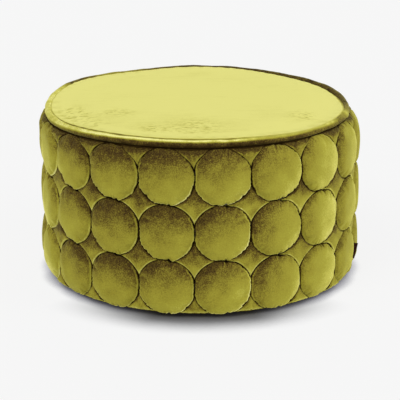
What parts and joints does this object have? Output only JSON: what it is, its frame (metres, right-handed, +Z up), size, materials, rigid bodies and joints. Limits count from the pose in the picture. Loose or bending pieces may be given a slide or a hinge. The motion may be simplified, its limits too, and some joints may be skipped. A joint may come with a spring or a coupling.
{
  "type": "pouf",
  "caption": "Round upholstered pouf: flat piped top on a drum whose side is quilted in rows of round filled puffs.",
  "frame": {"origin": "on the floor at the centre of the base", "axes": "+Z up; a column seam of the quilted side faces -Y, where the picture's camera stands"},
  "size_m": [0.7522, 0.7506, 0.4075],
  "materials": {
    "velvet": "matte",
    "backing_cloth": "matte",
    "foam": "matte",
    "wadding": "matte",
    "particle_board": "matte",
    "plywood": "matte",
    "board_wall": "matte",
    "dust_cover": "matte",
    "staples": "satin",
    "glides": "matte",
    "tab": "matte"
  },
  "bodies": {
    "root": {"puffs_bottom_row": "velvet", "puffs_middle_row": "velvet", "puffs_top_row": "velvet", "gussets_at_hem": "velvet", "gussets_lower": "velvet", "gussets_upper": "velvet", "gussets_under_piping": "velvet", "piping_roll": "velvet", "top_panel": "velvet", "cover_hem": "velvet", "backing_cloth": "backing_cloth", "side_foam": "foam", "seat_foam": "foam", "seat_wadding": "wadding", "base_board": "particle_board", "seat_board": "particle_board", "frame_rib_1": "plywood", "frame_rib_2": "plywood", "frame_rib_3": "plywood", "frame_rib_4": "plywood", "frame_rib_5": "plywood", "frame_rib_6": "plywood", "frame_rib_7": "plywood", "frame_rib_8": "plywood", "drum_wall": "board_wall", "dust_cover": "dust_cover", "hem_staples": "staples", "floor_glides": "glides", "side_tab": "tab"}
  },
  "joints": []
}
